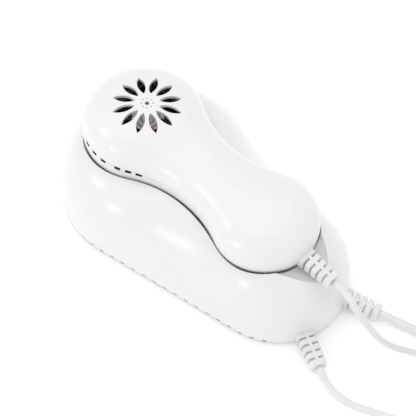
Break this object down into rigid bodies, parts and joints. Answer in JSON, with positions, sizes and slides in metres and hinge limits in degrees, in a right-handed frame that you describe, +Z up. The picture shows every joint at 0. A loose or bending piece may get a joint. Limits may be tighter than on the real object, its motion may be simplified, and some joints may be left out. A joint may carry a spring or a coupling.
{
  "type": "boot dryer",
  "caption": "Two-unit warm-air boot dryer: a slim peanut-shaped unit nests in the seat of an egg-shaped base, with fans, heaters, slotted vents, a link cord and a coiled mains lead.",
  "frame": {"origin": "on the floor, under the middle of the base unit's box", "axes": "+X from the wide head to the tail, where the cords leave; +Z up"},
  "size_m": [0.3569, 0.1648, 0.0781],
  "materials": {
    "shell": "gloss",
    "cord": "satin",
    "relief": "satin",
    "pads": "matte",
    "fan": "matte",
    "motor": "satin",
    "heater": "satin",
    "bracket": "matte",
    "cutout": "satin",
    "screws": "satin",
    "board": "satin",
    "component": "satin",
    "terminal": "satin",
    "fuse": "gloss",
    "lead_red": "satin",
    "lead_black": "satin",
    "lead_white": "satin",
    "tie": "satin",
    "blades": "satin"
  },
  "bodies": {
    "base": {"base_board": "board", "base_board_screws": "screws", "base_bottom_plate": "shell", "base_case_screws": "screws", "base_clamp_screws": "screws", "base_cord_clamps": "shell", "base_fan_frame": "fan", "base_fan_lead_black": "lead_black", "base_fan_lead_red": "lead_red", "base_fan_motor": "motor", "base_fan_screws": "screws", "base_feet": "pads", "base_heater": "heater", "base_heater_bracket": "bracket", "base_heater_leads": "lead_white", "base_terminal_block": "terminal", "base_thermal_cutout": "cutout", "base_top_shell": "shell", "link_coil": "cord", "link_cord_base": "cord", "link_cord_tail": "cord", "link_cord_tie": "tie", "link_cord_upper": "cord", "link_strain_relief": "relief", "mains_coil": "cord", "mains_cord": "cord", "mains_cord_end": "cord", "mains_cord_tail": "cord", "mains_cord_tie": "tie", "mains_strain_relief": "relief", "plug_blades": "blades", "plug_body": "cord", "power_capacitor": "component", "power_relay": "component", "power_transformer": "component"},
    "upper": {"upper_board": "board", "upper_board_screws": "screws", "upper_bottom_shell": "shell", "upper_case_screws": "screws", "upper_clamp_screws": "screws", "upper_cord_clamp": "shell", "upper_cord_tail": "cord", "upper_fan_frame": "fan", "upper_fan_lead_black": "lead_black", "upper_fan_lead_red": "lead_red", "upper_fan_motor": "motor", "upper_fan_screws": "screws", "upper_foot_pads": "pads", "upper_fuse": "fuse", "upper_heater": "heater", "upper_heater_bracket": "bracket", "upper_heater_leads": "lead_white", "upper_strain_relief": "relief", "upper_terminal_block": "terminal", "upper_thermal_cutout": "cutout", "upper_top_shell": "shell"},
    "upper_rotor": {"upper_fan_rotor": "fan"},
    "base_rotor": {"base_fan_rotor": "fan"}
  },
  "joints": [
    {"name": "upper_lift", "type": "slide", "parent": "base", "child": "upper", "axis": [0, 0, 1], "range_m": [0, 0.04]},
    {"name": "upper_fan_spin", "type": "hinge", "parent": "upper", "child": "upper_rotor", "pos_m": [-0.0491, 0, 0.0587], "axis": [0, 0, 1], "continuous": true},
    {"name": "base_fan_spin", "type": "hinge", "parent": "base", "child": "base_rotor", "pos_m": [-0.0491, 0, 0.0212], "axis": [0, 0, 1], "continuous": true}
  ]
}
